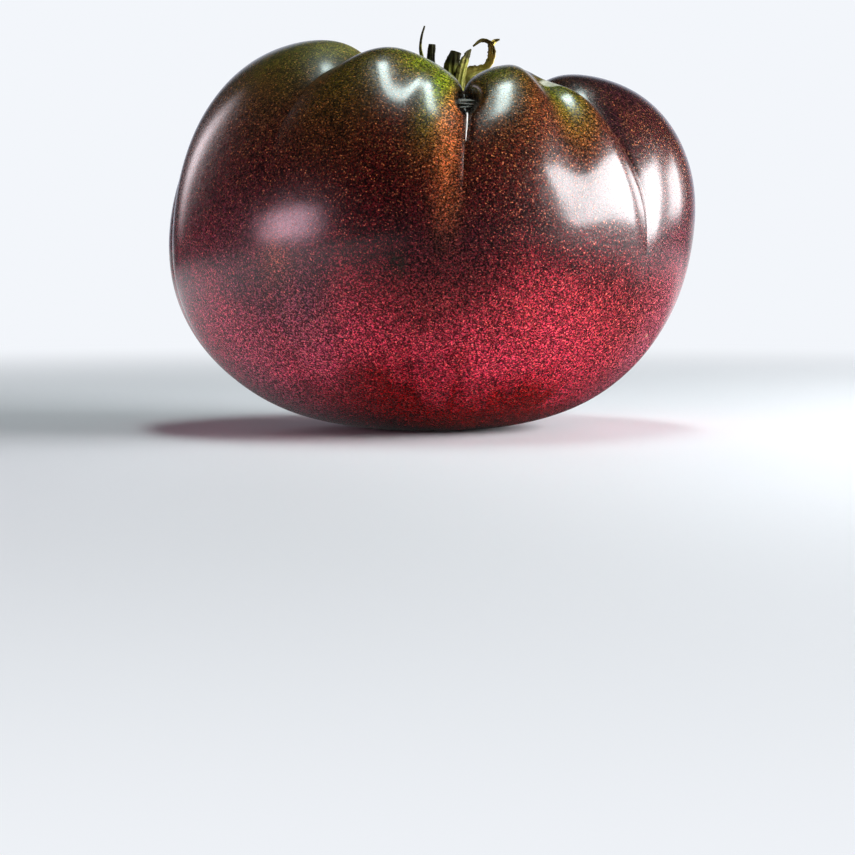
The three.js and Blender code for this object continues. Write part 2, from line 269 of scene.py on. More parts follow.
TOP_SPAN = 2  # levels over which a groove fades on the crest
NEAREST_ARC = 4  # mm from the axis, where the arc of a degree stops shrinking
VALLEY_POWER, CREASE_POWER = 1.35, 1.2
# the dark mark along a crease is painted shade
CREASE_SHADE_HALF_WIDTH, CREASE_SHADE_POWER = 2.2, 1.5  # of the dark mark along a crease, in mm

def groove_azimuth(groove, level):
    share = ease((level - BELLY) / (CREST - BELLY)) ** groove.get("swing", 1)
    return groove["belly"] + (groove["crest"] - groove["belly"]) * share

def grooves(azimuth, level, out, up):
    depth, crease, pit = 0 * azimuth, 0 * azimuth, 0 * azimuth
    for i, groove in enumerate(GROOVES):
        apart = (azimuth - groove_azimuth(groove, level) + 180) % 360 - 180
        arc = np.radians(np.abs(apart)) * np.maximum(out, NEAREST_ARC)
        wide = np.abs(apart) / np.where(apart < 0, groove["before"], groove["after"])
        inner = 1 - ease((level - groove.get("top", WALL)) / TOP_SPAN)
        fade = inner * ease((level - groove["end"]) / (CREST - groove["end"]))
        fine = inner * ease((level - groove["last"]) / (CREST - groove["last"]))
        depth += groove["valley"] * fade * np.exp(-wide ** groove.get("blunt", VALLEY_POWER))
        depth += groove["crease"] * fine * np.exp(-((arc / groove["half"]) ** CREASE_POWER))
        # painted shade along the crease
        crease_shade = np.exp(-((arc / CREASE_SHADE_HALF_WIDTH) ** CREASE_SHADE_POWER))
        crease = np.maximum(crease, fine * min(groove["crease"], 1) * crease_shade)
        if i == PIT["groove"]:
            spread = (arc / PIT["half_width"]) ** 2 + ((up - PIT["height"]) / PIT["half_height"]) ** 2
            pit = (level < CREST) * np.exp(-(spread ** PIT["power"]))
            depth += PIT["depth"] * pit
    return depth, crease, pit

# %% A point of the skin
def skin_point(azimuth, level):
    turn = np.radians(azimuth)
    place, toward, upward = rib_curve(turn, level)
    out, up, shift = place[..., 0], place[..., 1], place[..., 2]
    depth, crease, pit = grooves(azimuth, level, out, up)
    drawn = out - toward * depth
    point = np.stack([STEM_X * shift + drawn * np.cos(turn), drawn * np.sin(turn), up - upward * depth], -1)
    return point * MM, depth, crease, pit

# %% [markdown]
# The mesh runs in columns from groove to groove. They crowd towards the creases and follow
# them, so that each crease lies on an edge of the mesh and stays a clean line.

# %% Columns and rows of the mesh
COLUMNS_PER_RIB = 40
ROWS = 222
CROWDING = 0.72

level = np.linspace(0, STEM, ROWS + 1)[1:-1]
even = np.arange(COLUMNS_PER_RIB) / COLUMNS_PER_RIB
crowded = even - CROWDING * np.sin(2 * np.pi * even) / (2 * np.pi)
columns = []
for i, groove in enumerate(GROOVES):
    start = groove_azimuth(groove, level)
    stop = groove_azimuth(GROOVES[(i + 1) % len(GROOVES)], level) + (360 if i + 1 == len(GROOVES) else 0)
    columns += [start + (stop - start) * share for share in crowded]
azimuth = np.array(columns).T
level = np.repeat(level[:, None], azimuth.shape[1], 1)
skin, depth, crease, pit = skin_point(azimuth, level)
print("rows and columns", azimuth.shape, "deepest groove", round(float(depth.max()), 2), "mm")

# %% Close the skin at both ends
def closed_skin(name, rings, start, end):
    rows, size = rings.shape[:2]
    points = np.vstack([start, rings.reshape(-1, 3), end])
    here = 1 + np.arange(rows * size).reshape(rows, size)
    there = np.roll(here, -1, 1)
    quads = np.stack([here[:-1], there[:-1], there[1:], here[1:]], -1).reshape(-1, 4)
    last = len(points) - 1
    faces = quads.tolist()
    faces += [[0, b, a] for a, b in zip(here[0], there[0])]
    faces += [[last, a, b] for a, b in zip(here[-1], there[-1])]
    mesh = bpy.data.meshes.new(name)
    mesh.from_pydata(points.tolist(), [], faces)
    mesh.shade_smooth()
    made = bpy.data.objects.new(name, mesh)
    bpy.context.collection.objects.link(made)
    return made

def keep(piece, name, values, ends=(0, 0)):
    flat = np.concatenate([[ends[0]], np.asarray(values, float).ravel(), [ends[1]]])
    piece.data.attributes.new(name, "FLOAT", "POINT").data.foreach_set("value", flat)

foot = skin_point(np.array([0.0]), np.array([0.0]))[0]
floor_of_hollow = skin_point(np.array([0.0]), np.array([float(STEM)]))[0]
fruit = closed_skin("fruit_skin", skin, foot, floor_of_hollow)
print("fruit faces", len(fruit.data.polygons))

# %% [markdown]
# ## What the skin's colour follows
# The colour follows the growth: green stays longest on the shoulders near the stem and beside
# the creases, and the red is clearest low down. These fields are kept on the mesh for the
# material: how far a point is towards the stem, how deep in a groove, and how green.

# %% Patches of colour
# azimuth, level, half width in degrees, half height in levels, strength
PATCHES = {
    "green": [
        (267, 9.0, 4, 1.1, 1.0), (260, 9.8, 9, 0.9, 0.8), (247, 10.0, 9, 0.8, 0.4),
        (285, 9.6, 8, 1.2, 0.5), (296, 9.8, 6, 0.8, 0.35), (306, 8.7, 4, 0.9, 0.75),
        (212, 9.7, 22, 1.5, 0.38), (233, 9.5, 4, 1.0, 0.4), (240, 8.8, 12, 1.2, 0.22),
        (350, 10.2, 14, 0.9, 0.2), (30, 10.2, 16, 1.1, 0.5), (65, 10.3, 15, 1.1, 0.6),
        (100, 10.2, 14, 1.2, 0.6), (135, 10.2, 15, 1.1, 0.5), (170, 10.3, 14, 1.0, 0.4),
    ],
    "rust": [
        (272.2, 7.2, 2.6, 0.9, 0.65), (271.2, 7.9, 2.8, 0.7, 0.6), (272.6, 6.3, 3.0, 0.6, 0.4),
        (294, 8.1, 4, 1.1, 0.08), (306, 7.9, 5, 0.8, 0.14), (234, 5.75, 4, 0.35, 0.22),
    ],
    # painted sheen: a pale pink haze low on the left and right, where the skin mirrors the bright floor and
    # walls
    "bloom": [(208, 3.4, 26, 2.4, 1.0), (238, 4.6, 12, 1.2, 0.5), (345, 4.0, 14, 1.5, 0.5)],
    # painted shade: darkens the deep fold and the far lobe on the right, and the front and lower right belly
    "shade": [
        (336, 9.0, 15, 1.5, 1.0), (322, 8.0, 6, 1.2, 1.0), (335, 4.8, 28, 1.7, 1.0),
        (271, 5.5, 17, 0.9, 1.0), (302, 5.3, 12, 0.7, 0.35),
    ],
    "dull": [(218, 10.2, 13, 1.3, 1.0)],
}

def patches(spots):
    field = 0 * azimuth
    for at, where, wide, tall, strength in spots:
        apart = (azimuth - at + 180) % 360 - 180
        field = np.maximum(field, strength * np.exp(-((apart / wide) ** 2) - ((level - where) / tall) ** 2))
    return field

# %% Fields kept on the skin
FULL_GROOVE = 8  # mm deep where the field of depth reaches 1
STREAK_RISE = 0.08  # how fast the streaks' noise changes along a rib, for each level

keep(fruit, "stemward", np.clip((level - BELLY) / (STEM - BELLY), 0, 1), (0, 1))
# crease: where the skin gets painted shade along the creases
keep(fruit, "crease", crease)
# groove depth, which the skin also uses for painted shade deep in the grooves
keep(fruit, "groove", np.clip(depth / FULL_GROOVE, 0, 1))
# pit: also where the skin gets painted shade in the pit
keep(fruit, "pit", pit)
for name, spots in PATCHES.items():
    keep(fruit, name, patches(spots))
turn = np.radians(azimuth)
lengthwise = np.stack([np.cos(turn), np.sin(turn), level * STREAK_RISE], -1).reshape(-1, 3)
lengthwise = np.vstack([[0, 0, 0], lengthwise, [0, 0, STEM * STREAK_RISE]])
field = fruit.data.attributes.new("lengthwise", "FLOAT_VECTOR", "POINT")
field.data.foreach_set("vector", lengthwise.ravel())
print("fields", [kept.name for kept in fruit.data.attributes if not kept.name.startswith(".")])

# %% [markdown]
# ## The skin
# Ripe skin is a clear waxy film over coloured flesh. Seen close, it is full of fine pale dots.
# The colour is a ramp up the fruit, shifted by soft noise, with rust, green, painted shade and a
# painted pink sheen laid over it by the kept fields. The hollow is olive, and painted shade makes the
# creases and the pit darkest.

# %% Ground colour of the skin
RAMP_TOP = 0.08  # height in metres where the ramp ends
# The two lowest stops are darker: painted shade under the fruit.
SKIN_RAMP = [
    (0.00, (0.150, 0.001, 0.001)), (0.10, (0.180, 0.001, 0.002)), (0.22, (0.400, 0.026, 0.052)),
    (0.33, (0.265, 0.018, 0.030)), (0.43, (0.085, 0.004, 0.008)), (0.55, (0.042, 0.003, 0.003)),
    (0.86, (0.040, 0.010, 0.005)), (1.00, (0.046, 0.027, 0.008)),
]
BROAD_SIZE, STREAK_SIZE = 0.022, 0.16

skin_finish, shader, ink = finish_named("tomato_skin")
where = ink.place()
up = where.axis("Z")
broad = ink.noise(where, BROAD_SIZE, 3, 0.55)
streaks = ink.noise(ink.kept("lengthwise", pick="Vector"), STREAK_SIZE, 4, 0.6)
height = up / RAMP_TOP + (broad - 0.5) * 0.34 + (streaks - 0.5) * 0.30
colour = ink.node("ValToRGB", {"stops": SKIN_RAMP}, {0: height.clip()})

# %% Rust, green, painted shade and painted sheen
RUST_ORANGE = (0.75, 0.23, 0.065)
SHOULDER_GREEN = (0.17, 0.25, 0.012)
# tones of the painted shade, low and high on the fruit
PAINTED_SHADE_LOW, PAINTED_SHADE_HIGH = (0.085, 0.010, 0.012), (0.016, 0.005, 0.009)
# pink of the painted sheen
PAINTED_SHEEN_PINK = (0.42, 0.17, 0.25)

shade = ink.kept("shade")
rust_share = (ink.kept("rust") * (0.4 + streaks * 0.8)).clip()
green_share = (ink.kept("green") * (0.55 + streaks * 0.9)).clip()
painted_sheen_share = (ink.kept("bloom") * (0.4 + broad * 0.9)).clip()
painted_shade_colour = ink.mix(up.step(0.026, 0.044), PAINTED_SHADE_LOW, PAINTED_SHADE_HIGH)
colour = ink.mix(rust_share * 0.85, colour, RUST_ORANGE)
colour = ink.mix(green_share * 0.88, colour, SHOULDER_GREEN)
# painted shade laid over the colour
colour = ink.mix(shade * 0.86, colour, painted_shade_colour)
# painted pink sheen laid over the colour
colour = ink.mix(painted_sheen_share * 0.58, colour, PAINTED_SHEEN_PINK)

# %% Hollow, and painted shade in the creases, grooves and pit
HOLLOW_OLIVE = (0.045, 0.045, 0.010)
# tones of painted shade for the creases, grooves and pit
PAINTED_CREASE_SHADE = (0.02, 0.008, 0.006)
PAINTED_GROOVE_SHADE = (0.006, 0.002, 0.003)
PAINTED_PIT_SHADE = (0.006, 0.003, 0.002)

colour = ink.mix(ink.kept("stemward").step(0.52, 0.75) * 0.75, colour, HOLLOW_OLIVE)
# painted shade along the creases
colour = ink.mix(ink.kept("crease") * 0.6, colour, PAINTED_CREASE_SHADE)
# painted shade deep in the grooves
colour = ink.mix(ink.kept("groove").step(0.58, 0.95) * 0.8, colour, PAINTED_GROOVE_SHADE)
# painted shade in the pit
colour = ink.mix(ink.kept("pit").step(0.1, 0.6) * 0.95, colour, PAINTED_PIT_SHADE)

# %% [markdown]
# The dots are cells of a Voronoi texture: only the heart of each cell is pale, and noise picks
# which cells have one. They are golden on the shoulders and pinker lower down, and they are
# fainter near the foot and in the patches of painted shade.

# %% Pale dots in the skin
DOT_CELL, GRAIN_SIZE = 0.00048, 0.00045
DOT_PINK, DOT_GOLD = (0.68, 0.15, 0.10), (0.52, 0.23, 0.065)

grain = ink.noise(where, GRAIN_SIZE, 2, 0.6)
dot = ink.cells(where, DOT_CELL, "Distance").step(0.42, 0.18) * grain.step(0.42, 0.56)
dot_colour = ink.mix(up.step(0.03, 0.06), DOT_PINK, DOT_GOLD)
# the dots are fainter under the painted shade
fainter_in_painted_shade = 1 - shade * up.step(0.020, 0.034) * 0.7
seen_dots = dot * up.step(0.0, 0.02, 0.12, 0.5) * fainter_in_painted_shade
colour = ink.mix(seen_dots, colour, dot_colour)

# %% [markdown]
# Under the film the flesh is made of cells, each a little lighter or darker than the next. A
# finer Voronoi texture gives each cell one random colour, and the cube of its red part makes
# most cells dark and a few bright, which is what gives the skin its sparkle.

# %% Flesh cells under the skin
FLESH_CELL = 0.00022
CELL_DARKEST, CELL_RANGE = 0.24, 3.5

flesh = ink.cells(where, FLESH_CELL, "Color")
brightness = CELL_DARKEST + flesh.axis("X") ** 3 * CELL_RANGE
colour = ink.node("VectorMath", {"operation": "SCALE"}, {0: colour, "Scale": brightness})
colour = ink.mix(0.35, colour, ink.mix(1.0, colour, flesh, "MULTIPLY"))

# %% [markdown]
# Four small flaws make it one fruit and not a pattern: the corky scar at the blossom end, a
# dry scar on the right shoulder, a pimple low on the right and a dark smudge on the front.

# %% Scars
CORK_SIZE = 0.0012
BLOSSOM_BROWN, SCAR_GREY = (0.20, 0.12, 0.07), (0.62, 0.62, 0.50)
SMUDGE_BLACK, PIMPLE_TAN = (0.012, 0.014, 0.008), (0.50, 0.30, 0.20)

def spot(place, radius, stretch=(1, 1, 1)):
    away = where.vector("SUBTRACT", tuple(v * MM for v in place)).vector("MULTIPLY", stretch)
    return away.length().step(radius * 1.15 * MM, radius * 0.7 * MM)

cork = ink.noise(where, CORK_SIZE, 3, 0.7)
blossom_scar = spot((0, 0, 0), 3.2) * (0.6 + cork * 0.6)
shoulder_scar = spot((23.9, -24.8, 69.9), 2.8, (1.0, 1.0, 2.4)) * cork.step(0.22, 0.42)
pimple = spot((43.5, -18.1, 19.8), 0.45)
smudge = spot((-6.3, -49.3, 34.4), 2.6, (1.6, 1.0, 0.8)) * cork.step(0.40, 0.60)
colour = ink.mix(blossom_scar.clip() * 0.9, colour, BLOSSOM_BROWN)
colour = ink.mix(smudge.clip() * 0.7, colour, SMUDGE_BLACK)
colour = ink.mix(pimple * 0.7, colour, PIMPLE_TAN)
colour = ink.mix(shoulder_scar.clip() * 0.9, colour, SCAR_GREY)

# %% [markdown]
# A clear coat gives the wax its sharp gloss. The grain, the dots and a soft orange-peel noise
# give the skin a relief of about a tenth of a millimetre. The dull patch on the left shoulder
# has lost its wax, so it is rougher and has no coat.

# %% Gloss and relief of the skin
PEEL_SIZE = 0.0028
RELIEF_STRENGTH, RELIEF_HEIGHT = 0.28, 0.0001

dull = ink.kept("dull")
relief = grain * 0.9 + dot * 0.6 + ink.noise(where, PEEL_SIZE, 2, 0.5) * 2.2
roughness = 0.22 + grain * 0.10 + blossom_scar * 0.4 + dull * 0.32
ink.feed(shader.inputs["Base Color"], colour)
ink.feed(shader.inputs["Roughness"], roughness.clip())
ink.feed(shader.inputs["Coat Weight"], 0.55 - dull * 0.55)
ink.feed(shader.inputs["Normal"], ink.bump(relief, RELIEF_STRENGTH, RELIEF_HEIGHT))
shader.inputs["IOR"].default_value = 1.40
shader.inputs["Coat Roughness"].default_value = 0.10
shader.inputs["Coat IOR"].default_value = 1.45
fruit.data.materials.append(skin_finish)
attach(fruit, "root")
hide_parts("fruit")
print("skin nodes", len(skin_finish.node_tree.nodes))

# %% [markdown]
# ## Cork and painted highlights in the pit
# Where the skin of the pinched pit has torn and healed, it leaves short pale strokes across the
# crease, and a pale seam runs down the crease below them. Their pale cork also stands in for the
# glints in the pit and along the crease: a painted highlight. Each is a thin closed tube, since at
# this size paint would blur. They are placed by level, as the skin is, so they follow the crease.

# %% Strokes of cork
STROKES = [(8.55, 1.2, 0.25), (8.62, 1.5, -0.15), (8.69, 1.6, 0.2), (8.76, 1.5, -0.1), (8.83, 1.1, 0.3)]
STROKE_RADIUS = 0.16
STROKE_REACH = 36  # mm from the axis to the pit
SLANT_LEVELS = 0.12
RIM = np.linspace(0, 2 * np.pi, 8, endpoint=False)
front_crease = GROOVES[PIT["groove"]]

strokes = []
for number, (at, half_length, slant) in enumerate(STROKES):
    reach = np.linspace(-1, 1, 11)
    ends = reach[[0, -1]]
    spread = np.degrees(half_length / STROKE_REACH)
    ends = skin_point(groove_azimuth(front_crease, at) + ends * spread, at + ends * slant * SLANT_LEVELS)[0]
    line = ends[0] + (ends[1] - ends[0]) * (reach[:, None] + 1) / 2
    thin = STROKE_RADIUS * MM * (1 - reach**2 * 0.7)
    rings = np.stack([line[:, None, 0] + 0 * RIM,
                      line[:, None, 1] + thin[:, None] * np.cos(RIM),
                      line[:, None, 2] + thin[:, None] * np.sin(RIM)], -1)
    strokes.append(closed_skin(f"stroke_{number}", rings, line[0], line[-1]))

# %% Seam below the pit, pale cork and a painted highlight
SEAM_LEVELS, SEAM_HALF_WIDTH, SEAM_RADIUS, SEAM_STEPS = (8.35, 7.35), 1.3, 0.17, 41

at = np.linspace(*SEAM_LEVELS, SEAM_STEPS)
middle = groove_azimuth(front_crease, at)
lips = [skin_point(middle + side * SEAM_HALF_WIDTH, at)[0] for side in (-1, 1)]
line = (lips[0] + lips[1]) / 2
thin = SEAM_RADIUS * MM * np.sqrt(np.clip(1 - np.linspace(-1, 1, SEAM_STEPS) ** 2, 0.02, 1))
rings = np.stack([line[:, None, 0] + thin[:, None] * np.cos(RIM),
                  line[:, None, 1] + thin[:, None] * np.sin(RIM),
                  line[:, None, 2] + 0 * RIM], -1)
strokes.append(closed_skin("seam_and_glint", rings, line[0], line[-1]))

# %% Join the strokes and give them pale cork, also a painted highlight
def joined(pieces, name):
    bpy.ops.object.select_all(action="DESELECT")
    for piece in pieces:
        piece.select_set(True)
    bpy.context.view_layer.objects.active = pieces[0]
    bpy.ops.object.join()
    pieces[0].name = name
    return pieces[0]

# pale cork, which is also a painted highlight
CORK_TAN, CORK_AND_GLINT_WHITE = (0.60, 0.56, 0.50), (0.95, 0.94, 0.92)

cork_and_glint_strokes = joined(strokes, "cork_and_glint_strokes")
cork_and_glint_finish, shader, ink = finish_named("healed_cork_and_glint")
pale = ink.noise(ink.place(), 0.0004, 2, 0.6)
ink.feed(shader.inputs["Base Color"], ink.mix(pale, CORK_TAN, CORK_AND_GLINT_WHITE))
shader.inputs["Roughness"].default_value = 0.6
cork_and_glint_strokes.data.materials.append(cork_and_glint_finish)
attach(cork_and_glint_strokes, "root")
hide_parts("fruit")
print("cork strokes", len(STROKES), "faces", len(cork_and_glint_strokes.data.polygons))

# %% [markdown]
# ## Sepals
# Eight leaf tips stand round the stem. As they dry they twist, fold along the middle vein and
# curl at the edges. Each blade is a closed strip along a curved middle line. Its half width is
# given at every point of the line, and a little noise makes the edges ragged.

# %% Middle lines of the sepals
SEAT_GAP = 0.6
HUB_HEIGHT = 2.0
HUB_BASE = CAVITY_FLOOR + SEAT_GAP
HUB_TOP = HUB_BASE + HUB_HEIGHT
# points as (outwards, sideways, up from the hub's top, half width)
SEPALS = {
    "wisp": dict(azimuth=152, cup=0.3, turn=(0, 70), age=0.2, line=[(3, 0, -1, 1.2), (5.4, 0.2, 5, 1.1),
        (7, 0.3, 10.5, 0.8), (8.1, 0.3, 14.8, 0.42), (7.8, 0.3, 17.3, 0.3), (7.1, 0.2, 19.5, 0.16)]),
    "blunt": dict(azimuth=196, cup=0.3, turn=(0, 60), age=0.1, line=[(3, 0, -1, 1.3), (4.8, -0.2, 5, 1.2),
        (5.4, -0.2, 11, 1), (5, -0.1, 15.4, 0.75)]),
    "broad": dict(azimuth=258, cup=0.5, turn=(0, -20), age=0.15, line=[(3, 0, -1, 1.5), (3.6, -0.4, 4, 1.9),
        (4, -0.5, 9, 2), (4.2, 0.1, 12, 1.7), (3.9, 0.7, 13.8, 1.2)]),
    "pointed": dict(azimuth=290, cup=0.4, turn=(0, 25), age=0.25, line=[(3, 0, -1, 1.4), (4.4, -0.4, 4, 1.5),
        (4.6, -0.4, 8, 1.3), (4.4, 0.6, 11.4, 1), (4.1, 1.4, 13.2, 0.7), (4, 2, 14.2, 0.15)]),
    "hooked": dict(azimuth=352, cup=0.3, turn=(45, 68), age=0.8, line=[(2.8, 0, -1, 1.4), (3, 0, 4, 1.7),
        (2.7, 0, 8.4, 2), (3.6, 0, 9.4, 1.6), (5, 0, 9.9, 1.1), (6.5, 0, 10.5, 0.9), (7.5, 0, 11.9, 0.95),
        (7.8, 0, 14, 0.95), (7.1, 0, 15.8, 0.5), (5.5, 0, 16.2, 0.4), (3.7, 0, 15, 0.16)]),
    "split_tip": dict(azimuth=352, cup=0.1, turn=(60, 60), age=0.7, line=[(7.6, 0, 13.4, 0.5),
        (7.8, 0, 15, 0.46), (8.4, 0, 15.9, 0.4), (9.3, 0, 16.3, 0.14)]),
    "right": dict(azimuth=26, cup=0.5, turn=(0, 30), age=0.35, line=[(3, 0, -1, 1.6), (7, 0.2, 3, 2),
        (11, 0.6, 7, 1.4), (14, 2, 10.2, 0.15)]),
    "back": dict(azimuth=68, cup=0.5, turn=(0, -35), age=0.3, line=[(3, 0, -1, 1.6), (6.5, 0, 3, 2.1),
        (10, -0.6, 6.5, 1.4), (12.5, -2, 8, 0.15)]),
    "back_left": dict(azimuth=110, cup=0.5, turn=(0, 40), age=0.2, line=[(3, 0, -1, 1.5), (6.5, 0, 4, 1.9),
        (10, 0.4, 8, 1.2), (11.5, 1.6, 11.6, 0.15)]),
}

# %% [markdown]
# A smooth line through the points keeps the same spacing rule as the solids, so that each fine
# blade lies where its solid is.

# %% Smooth line through points
def through(points, per_span):
    p = np.array(points, float)
    p = np.vstack([2 * p[0] - p[1], p, 2 * p[-1] - p[-2]])
    places, slopes = [], []
    for i in range(1, len(p) - 2):
        gaps = [max(np.linalg.norm(p[k + 1, :3] - p[k, :3]) ** 0.5, 1e-4) for k in (i - 1, i, i + 1)]
        enter = ((p[i] - p[i - 1]) / gaps[0] - (p[i + 1] - p[i - 1]) / (gaps[0] + gaps[1])
                 + (p[i + 1] - p[i]) / gaps[1]) * gaps[1]
        leave = ((p[i + 1] - p[i]) / gaps[1] - (p[i + 2] - p[i]) / (gaps[1] + gaps[2])
                 + (p[i + 2] - p[i + 1]) / gaps[2]) * gaps[1]
        last = i == len(p) - 3
        for t in np.linspace(0, 1, per_span + 1)[: per_span + 1 if last else per_span]:
            places.append((2 * t**3 - 3 * t**2 + 1) * p[i] + (t**3 - 2 * t**2 + t) * enter
                          + (-2 * t**3 + 3 * t**2) * p[i + 1] + (t**3 - t**2) * leave)
            slopes.append((6 * t**2 - 6 * t) * p[i] + (3 * t**2 - 4 * t + 1) * enter
                          + (6 * t - 6 * t**2) * p[i + 1] + (3 * t**2 - 2 * t) * leave)
    return np.array(places), np.array(slopes)

# %% [markdown]
# Across its width a blade is a shallow cup. Its edges curl up, low waves run over it slantwise, and
# a fold marks the middle vein. The thickness falls from a quarter to a sixth of a millimetre.

# %% One blade
ACROSS = np.linspace(-1, 1, 15)
STEPS_PER_SPAN = 14
NARROWEST = 0.1
TIP_THICKNESS, EXTRA_AT_ROOT = 0.16, 0.10
EDGE_CURL, WAVE_HEIGHT, VEIN_FOLD, VEIN_WIDTH = 0.35, 0.16, 0.28, 0.14
chance = np.random.default_rng(7)

def turned(vector, axis, angle):
    return vector * math.cos(angle) + np.cross(axis, vector) * math.sin(angle)

def blade(azimuth, line, cup, turn, age):
    places, slopes = through(line, STEPS_PER_SPAN)
    count, widest = len(places), max(point[3] for point in line)
    ragged = 1 + 0.10 * np.convolve(chance.normal(size=count + 8), np.ones(3) / 3, "same")[:count]
    curl = chance.uniform(0.5, 1.3)
    rings, tags = [], []
    for i in range(count):
        share = i / (count - 1)
        along = slopes[i, :3] / np.linalg.norm(slopes[i, :3])
        across = np.array([0, 1, 0]) - along * along[1]
        across /= np.linalg.norm(across)
        angle = math.radians(turn[0] + (turn[1] - turn[0]) * float(ease(share)))
        across = turned(across, along, angle)
        face = np.cross(along, across)
        width = max(places[i, 3], NARROWEST) * ragged[i]
        thick = TIP_THICKNESS + EXTRA_AT_ROOT * (1 - share)
        size = width / widest
        lift = cup * ACROSS**2 * size + curl * EDGE_CURL * size * np.abs(ACROSS) ** 5
        wave = WAVE_HEIGHT * size * np.sin(3.2 * np.pi * ACROSS + 9 * share)
        lift += wave - VEIN_FOLD * size * np.exp(-((ACROSS / VEIN_WIDTH) ** 2))
        under = places[i, :3] + across * (ACROSS * width)[:, None] + face * (lift - thick / 2)[:, None]
        over = places[i, :3] + across * (ACROSS * width)[:, None] + face * (lift + thick / 2)[:, None]
        rings.append(np.vstack([under, over[::-1]]))
        tags.append(np.concatenate([ACROSS, ACROSS[::-1]]))
    a = math.radians(azimuth)
    spin = np.array([[math.cos(a), -math.sin(a), 0], [math.sin(a), math.cos(a), 0], [0, 0, 1]])
    rings = (np.array(rings) @ spin.T + [STEM_X, 0, HUB_TOP]) * MM
    return rings, np.array(tags), age

# %% [markdown]
# The disc that carries the sepals is a low dome with a soft groove between every two of them.

# %% Disc under the sepals
DISC_PROFILE = [(3.0, 0), (3.9, 0.25), (4.35, 0.9), (4.1, 1.5), (3.4, 1.85), (2.5, 2.0), (1.2, 2.0)]
DISC_SIDES, DISC_LOBES, DISC_RIPPLE = 64, 8, 0.06
DISC_TAG, DISC_AGE = 0.4, 0.3

sides = np.linspace(0, 2 * np.pi, DISC_SIDES, endpoint=False)
wave = 1 + DISC_RIPPLE * np.cos(DISC_LOBES * sides)
disc = np.array([[[radius * w * math.cos(a), radius * w * math.sin(a), rise] for a, w in zip(sides, wave)]
                 for radius, rise in DISC_PROFILE])
disc = (disc + [STEM_X, 0, HUB_BASE]) * MM

# %% Join blades and disc into one calyx
bodies = [(disc, np.zeros(disc.shape[:2]) + DISC_TAG, DISC_AGE)]
bodies += [blade(**sepal) for sepal in SEPALS.values()]

leaves = []
for number, (rings, tags, age) in enumerate(bodies):
    leaf = closed_skin(f"calyx_{number}", rings, rings[0].mean(0), rings[-1].mean(0))
    share = np.repeat(np.linspace(0, 1, len(rings))[:, None], rings.shape[1], 1)
    keep(leaf, "across", tags)
    keep(leaf, "tipward", share, (0, 1))
    keep(leaf, "age", 0 * share + age, (age, age))
    leaves.append(leaf)
calyx = joined(leaves, "calyx_leaves")
print("calyx faces", len(calyx.data.polygons))

# %% [markdown]
# A sepal is dark green and dull, with paler veins that fork from the middle, and it dries from
# the tip and the edges to straw yellow and then to nearly black. The kept fields drive all of it.

# %% Sepal material
LEAF_DEEP, LEAF_GREEN = (0.002, 0.006, 0.001), (0.055, 0.160, 0.010)
VEIN_GREEN, STRAW, SCORCHED = (0.26, 0.44, 0.05), (0.98, 0.80, 0.20), (0.006, 0.006, 0.002)

leaf_finish, shader, ink = finish_named("sepal_leaf")
across, tipward, age = ink.kept("across"), ink.kept("tipward"), ink.kept("age")
side = abs(across)
mottle = ink.noise(ink.place(), 0.0009, 4, 0.65)
along_fibres = ink.node("CombineXYZ", {}, {0: across * 9.0, 1: tipward * 2.2, 2: age * 30})
fibre = ink.noise(along_fibres, 1.0, 3, 0.6)
vein = (side.step(0.16, 0.03) + fibre.step(0.52, 0.68) * 0.5).clip()
dried = (age * 1.5 + (mottle - 0.5) * 1.2 + tipward * 0.3 - 0.25).clip()
scorched = (tipward.step(0.62, 0.74) * (0.7 + mottle * 0.6) + side.step(0.75, 1.0) * 0.4
            + mottle.step(0.54, 0.62) * 0.45).clip()
leaf_colour = ink.mix(mottle.step(0.42, 0.62), LEAF_DEEP, LEAF_GREEN)
leaf_colour = ink.mix(vein * 0.42, leaf_colour, VEIN_GREEN)
leaf_colour = ink.mix(dried * 0.92, leaf_colour, STRAW)
leaf_colour = ink.mix(scorched * 0.9, leaf_colour, SCORCHED)
ink.feed(shader.inputs["Base Color"], leaf_colour)
ink.feed(shader.inputs["Roughness"], 0.62 + mottle * 0.25)
ink.feed(shader.inputs["Normal"], ink.bump(fibre + mottle * 0.7 + vein, 0.5, 0.00012))
shader.inputs["Specular IOR Level"].default_value = 0.2
calyx.data.materials.append(leaf_finish)
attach(calyx, "root")
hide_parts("calyx")

# %% [markdown]
# ## The stub of stem
# The stem breaks off at its swollen joint, so a short stub stays on the fruit. It is green below,
# corky at the joint, and the break on top is rough.

# %% Stub of stem
# points as (outwards, up from the hub's top, radius)
STUB = [(0, -0.5, 2.2), (0, 0.8, 2.05), (0.15, 2.2, 1.8), (0.4, 3.6, 1.78), (0.7, 4.8, 2.15),
        (0.95, 5.7, 2.42), (1.2, 6.4, 2.2), (1.3, 6.8, 1.6), (1.35, 6.7, 0.9)]
LEAN = math.radians(130)
BREAK_FROM, BREAK_HEIGHT = 0.86, 0.25

